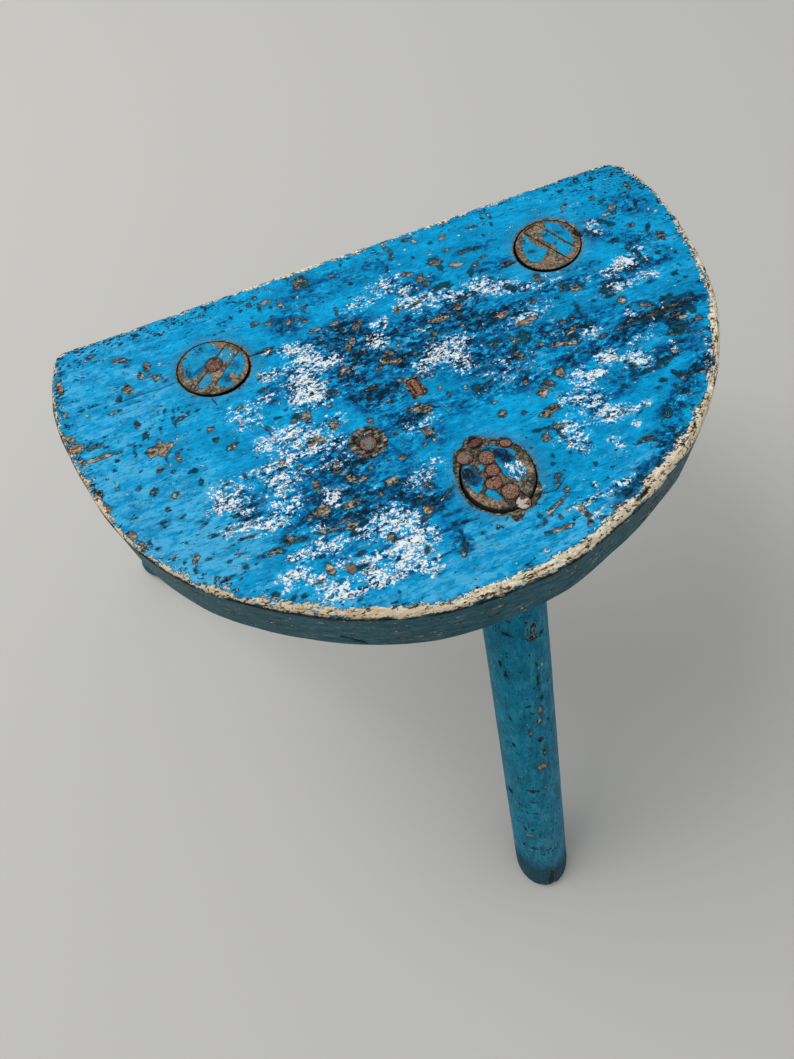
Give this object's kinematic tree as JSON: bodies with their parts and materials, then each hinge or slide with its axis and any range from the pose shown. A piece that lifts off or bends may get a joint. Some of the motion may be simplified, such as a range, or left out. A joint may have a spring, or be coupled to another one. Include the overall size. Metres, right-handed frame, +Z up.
{
  "type": "milking stool",
  "caption": "Half-moon plank seat on splayed dowel legs that pass through it, each wedged from above, sawn flush and nailed; worn blue paint.",
  "frame": {"origin": "on the floor, below the middle of the object's box (the middle of the three feet's spread)", "axes": "+X along the seat's straight back edge towards its right end as seen from the front, +Y to the back, +Z up"},
  "size_m": [0.4353, 0.3645, 0.285],
  "materials": {
    "seat_paint": "worn blue paint over wood, chipped through to bare grey-tan wood along the edges, with white and dark blue scuffs",
    "leg_paint": "teal-blue paint over wood, chipped, dark and dirty at the foot",
    "wedge_wood": "end grain, bare and grey-tan with remains of blue paint",
    "rusty_iron": "matt brown rust, pitted"
  },
  "bodies": {
    "root": {"seat_plank": "seat_paint", "left_leg": "leg_paint", "right_leg": "leg_paint", "front_leg": "leg_paint", "left_wedge": "wedge_wood", "right_wedge": "wedge_wood", "front_wedge": "wedge_wood", "left_tenon_nail": "rusty_iron", "front_tenon_nail_1": "rusty_iron", "front_tenon_nail_2": "rusty_iron", "front_tenon_nail_3": "rusty_iron", "front_tenon_nail_4": "rusty_iron", "front_tenon_nail_5": "rusty_iron", "front_tenon_nail_6": "rusty_iron", "front_tenon_nail_7": "rusty_iron", "front_tenon_nail_8": "rusty_iron", "centre_seat_nail": "rusty_iron", "cut_seat_nail": "rusty_iron"}
  },
  "joints": []
}
